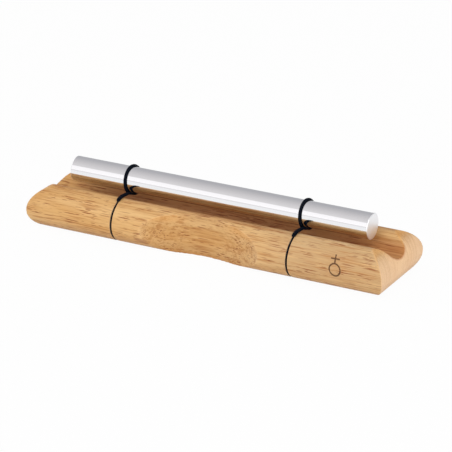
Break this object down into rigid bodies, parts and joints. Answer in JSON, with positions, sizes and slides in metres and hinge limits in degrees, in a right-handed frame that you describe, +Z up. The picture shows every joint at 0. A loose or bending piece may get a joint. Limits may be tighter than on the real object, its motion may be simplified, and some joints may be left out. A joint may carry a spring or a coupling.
{
  "type": "energy chime",
  "caption": "Tabletop energy chime: a polished round metal bar hung in elastic cord loops over a grooved hardwood base, struck with a mallet to ring.",
  "frame": {"origin": "middle of the base's flat underside", "axes": "+X along the chime rod, towards the right end as seen from the front; +Y to the back; +Z up"},
  "size_m": [0.1922, 0.0464, 0.034],
  "materials": {
    "wood": "satin oiled pale hardwood with lengthwise grain",
    "polished_aluminium": "polished",
    "elastic_cord": "matt braided sheath over a rubber core"
  },
  "bodies": {
    "base": {"wooden_base": "wood", "left_cord_base_run": "elastic_cord", "left_cord_front_rim_bend": "elastic_cord", "left_cord_back_rim_bend": "elastic_cord", "right_cord_base_run": "elastic_cord", "right_cord_front_rim_bend": "elastic_cord", "right_cord_back_rim_bend": "elastic_cord"},
    "cord_spans": {"left_cord_front_span": "elastic_cord", "left_cord_back_span": "elastic_cord", "right_cord_front_span": "elastic_cord", "right_cord_back_span": "elastic_cord"},
    "cord_loops": {"left_cord_rod_loop": "elastic_cord", "right_cord_rod_loop": "elastic_cord"},
    "rod": {"chime_rod": "polished_aluminium"}
  },
  "joints": [
    {"name": "rod_sway", "type": "slide", "parent": "base", "child": "cord_spans", "axis": [0, 1, 0], "range_m": [-0.0015, 0.0015], "stiffness_N_per_m": 500, "deforming": ["left_cord_front_rim_bend", "left_cord_back_rim_bend", "right_cord_front_rim_bend", "right_cord_back_rim_bend"]},
    {"name": "rod_bounce", "type": "slide", "parent": "cord_spans", "child": "cord_loops", "axis": [0, 0, 1], "range_m": [-0.003, 0.004], "stiffness_N_per_m": 600, "springref_m": 0.0009, "deforming": ["left_cord_front_span", "left_cord_back_span", "right_cord_front_span", "right_cord_back_span"]},
    {"name": "rod_slide", "type": "slide", "parent": "cord_loops", "child": "rod", "axis": [1, 0, 0], "range_m": [-0.028, 0.028]}
  ]
}
